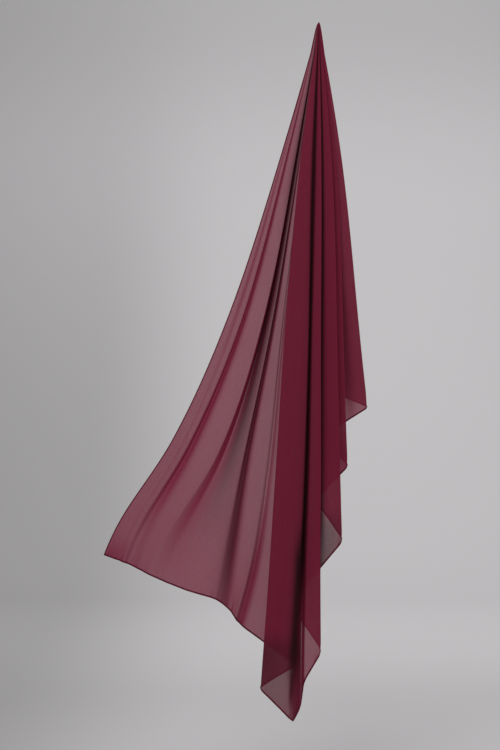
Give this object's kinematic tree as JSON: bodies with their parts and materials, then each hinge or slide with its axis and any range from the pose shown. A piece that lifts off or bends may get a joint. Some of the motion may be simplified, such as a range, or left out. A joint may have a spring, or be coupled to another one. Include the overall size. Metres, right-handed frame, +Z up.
{
  "type": "headscarf",
  "caption": "Sheer chiffon headscarf hung by its corner, fanned out to the left and falling in a stepped cascade of pleats to the right.",
  "frame": {"origin": "the gathered top end of the corner that the scarf is held by", "axes": "+Z up, the cloth hangs down along -Z; -Y is the front that the picture shows; +X is to its right"},
  "size_m": [0.8218, 0.3103, 2.1073],
  "materials": {
    "chiffon": "sheer plain-weave maroon chiffon, matt, with narrow rolled hems"
  },
  "bodies": {
    "root": {"gathered_tip": "chiffon", "fan_panel": "chiffon", "return_panel": "chiffon", "front_panel": "chiffon", "pleat_1": "chiffon", "pleat_2": "chiffon", "pleat_3": "chiffon", "pleat_4": "chiffon", "pleat_5": "chiffon", "pleat_6": "chiffon", "pleat_7": "chiffon", "pleat_8": "chiffon", "pleat_9": "chiffon"}
  },
  "joints": []
}
